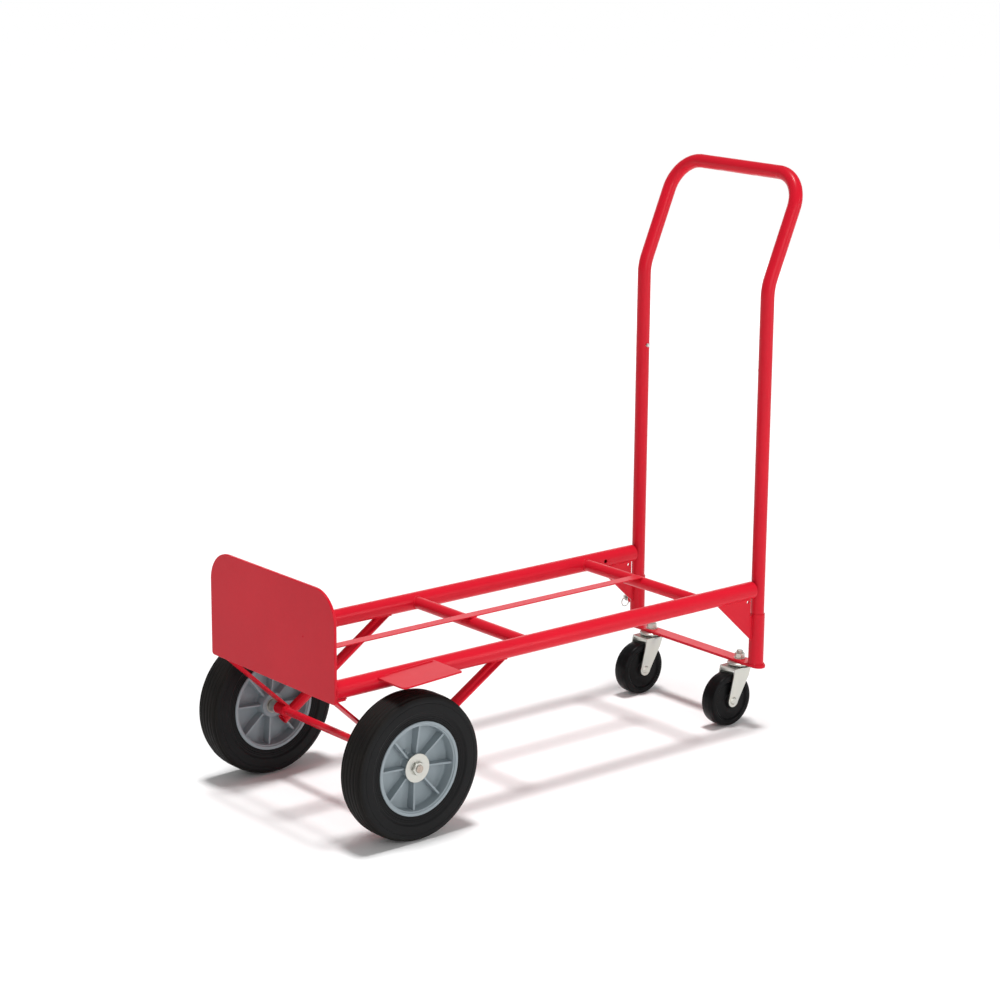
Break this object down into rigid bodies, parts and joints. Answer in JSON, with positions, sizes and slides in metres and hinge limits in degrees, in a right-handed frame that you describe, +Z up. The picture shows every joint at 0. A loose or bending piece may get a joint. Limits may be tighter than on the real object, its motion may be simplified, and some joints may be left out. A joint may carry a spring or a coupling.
{
  "type": "convertible hand truck",
  "caption": "Convertible hand truck set up as a platform cart: tubular frame on rubber-tyred wheels and swivel casters, with an upright toe plate and a lift-out loop handle.",
  "frame": {"origin": "on the floor, at the middle of the length and of the width", "axes": "+Z up, +X from the toe plate towards the handle, +Y to the left of someone who stands at the handle's side and looks along +X"},
  "size_m": [1.0784, 0.4966, 1.0427],
  "materials": {
    "red_enamel": "gloss",
    "tyre_rubber": "matte",
    "hub_plastic": "satin",
    "zinc_plate": "bright",
    "caster_rubber": "satin",
    "spring_steel": "satin"
  },
  "bodies": {
    "frame": {"rail_left": "red_enamel", "rail_right": "red_enamel", "front_cross_tube": "red_enamel", "rear_cross_tube": "red_enamel", "deck_strip": "red_enamel", "toe_plate": "red_enamel", "wheel_guard_left": "red_enamel", "wheel_guard_right": "red_enamel", "axle_brace_left": "red_enamel", "axle_brace_right": "red_enamel", "axle_strap_left": "red_enamel", "axle_strap_right": "red_enamel", "axle": "red_enamel", "axle_spacers": "zinc_plate", "axle_washers": "zinc_plate", "axle_nuts": "zinc_plate", "gusset_left": "red_enamel", "gusset_right": "red_enamel", "leg_socket_left": "red_enamel", "leg_socket_right": "red_enamel", "caster_bar": "red_enamel", "caster_stems": "zinc_plate", "caster_stem_washers": "zinc_plate", "caster_stem_nuts": "zinc_plate", "caster_races": "zinc_plate", "lock_boss": "red_enamel"},
    "handle": {"handle_loop": "red_enamel", "button_spring_left": "spring_steel", "button_spring_right": "spring_steel"},
    "wheel_left": {"tyre_left": "tyre_rubber", "hub_left": "hub_plastic", "hub_bearings_left": "zinc_plate"},
    "caster_left": {"caster_fork_left": "zinc_plate", "swivel_balls_left": "zinc_plate", "caster_rivet_left": "zinc_plate"},
    "roller_left": {"caster_wheel_left": "caster_rubber", "caster_bush_left": "zinc_plate"},
    "button_left": {"snap_button_left": "zinc_plate"},
    "wheel_right": {"tyre_right": "tyre_rubber", "hub_right": "hub_plastic", "hub_bearings_right": "zinc_plate"},
    "caster_right": {"caster_fork_right": "zinc_plate", "swivel_balls_right": "zinc_plate", "caster_rivet_right": "zinc_plate"},
    "roller_right": {"caster_wheel_right": "caster_rubber", "caster_bush_right": "zinc_plate"},
    "button_right": {"snap_button_right": "zinc_plate"},
    "lock": {"lock_pin": "zinc_plate"},
    "ring": {"pull_ring": "zinc_plate"}
  },
  "joints": [
    {"name": "handle_lift", "type": "slide", "parent": "frame", "child": "handle", "axis": [0, 0, 1], "range_m": [0, 0.2]},
    {"name": "lock_pin_push", "type": "slide", "parent": "frame", "child": "lock", "axis": [0, -1, 0], "range_m": [0, 0.008]},
    {"name": "pull_ring_swing", "type": "hinge", "parent": "lock", "child": "ring", "pos_m": [0.44282, 0.1996, 0.1686], "axis": [1, 0, 0], "range_deg": [0, 105]},
    {"name": "wheel_left_spin", "type": "hinge", "parent": "frame", "child": "wheel_left", "pos_m": [-0.40818, 0.20965, 0.127], "axis": [0, 1, 0], "continuous": true},
    {"name": "caster_left_swivel", "type": "hinge", "parent": "frame", "child": "caster_left", "pos_m": [0.44282, 0.1216, 0.11], "axis": [0, 0, 1], "continuous": true},
    {"name": "caster_left_roll", "type": "hinge", "parent": "caster_left", "child": "roller_left", "pos_m": [0.40982, 0.1216, 0.0508], "axis": [0, 1, 0], "continuous": true},
    {"name": "snap_button_left_press", "type": "slide", "parent": "handle", "child": "button_left", "axis": [0, 1, 0], "range_m": [0, 0.004], "stiffness_N_per_m": 900, "springref_m": -0.004},
    {"name": "wheel_right_spin", "type": "hinge", "parent": "frame", "child": "wheel_right", "pos_m": [-0.40818, -0.20965, 0.127], "axis": [0, 1, 0], "continuous": true},
    {"name": "caster_right_swivel", "type": "hinge", "parent": "frame", "child": "caster_right", "pos_m": [0.44282, -0.1216, 0.11], "axis": [0, 0, 1], "continuous": true},
    {"name": "caster_right_roll", "type": "hinge", "parent": "caster_right", "child": "roller_right", "pos_m": [0.40982, -0.1216, 0.0508], "axis": [0, 1, 0], "continuous": true},
    {"name": "snap_button_right_press", "type": "slide", "parent": "handle", "child": "button_right", "axis": [0, -1, 0], "range_m": [0, 0.004], "stiffness_N_per_m": 900, "springref_m": -0.004}
  ]
}
